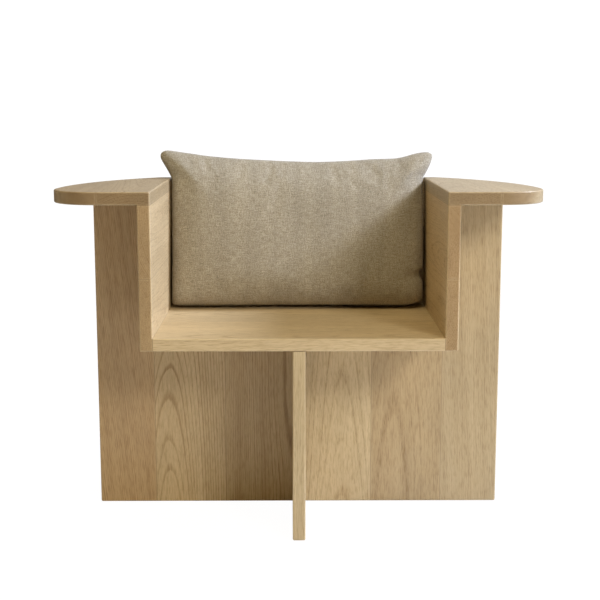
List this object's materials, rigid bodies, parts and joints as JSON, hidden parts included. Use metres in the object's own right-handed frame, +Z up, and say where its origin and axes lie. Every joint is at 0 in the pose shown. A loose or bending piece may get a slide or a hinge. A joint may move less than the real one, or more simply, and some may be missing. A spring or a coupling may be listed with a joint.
{
  "type": "wooden armchair",
  "caption": "Low lounge armchair of thick flat wood boards: plus-shaped panel base, open box seat, wide rounded flat arms and a loose linen lumbar cushion.",
  "frame": {"origin": "on the floor, midway between the front and rear faces and on the centre line", "axes": "+X to the right as seen from the front, +Y to the rear, +Z up"},
  "size_m": [0.95, 0.435, 0.7433],
  "materials": {
    "oak": "clear matt oil",
    "dowel": "plain beech",
    "linen": "coarse plain weave",
    "filling": "soft"
  },
  "bodies": {
    "chair": {"arm_board_left_inner": "oak", "arm_board_left_outer": "oak", "arm_board_right_inner": "oak", "arm_board_right_outer": "oak", "back_board_lower": "oak", "back_board_upper": "oak", "cross_board_left_inner": "oak", "cross_board_left_outer": "oak", "cross_board_right_inner": "oak", "cross_board_right_outer": "oak", "cross_wing_left": "oak", "cross_wing_right": "oak", "dowels_arm_left": "dowel", "dowels_arm_right": "dowel", "dowels_back_left": "dowel", "dowels_back_right": "dowel", "dowels_back_seat": "dowel", "dowels_base": "dowel", "dowels_seat_left": "dowel", "dowels_seat_right": "dowel", "dowels_wing_left": "dowel", "dowels_wing_right": "dowel", "fin_board_front": "oak", "fin_board_lap": "oak", "fin_board_rear": "oak", "seat_board_front": "oak", "seat_board_middle": "oak", "seat_board_rear": "oak", "side_board_left_lower": "oak", "side_board_left_upper": "oak", "side_board_right_lower": "oak", "side_board_right_upper": "oak"},
    "cushion": {"cushion_cover_back": "linen", "cushion_cover_front": "linen", "cushion_filling": "filling"}
  },
  "joints": [
    {"name": "cushion_lift", "type": "slide", "parent": "chair", "child": "cushion", "axis": [0, 0, 1], "range_m": [0, 0.35]}
  ]
}
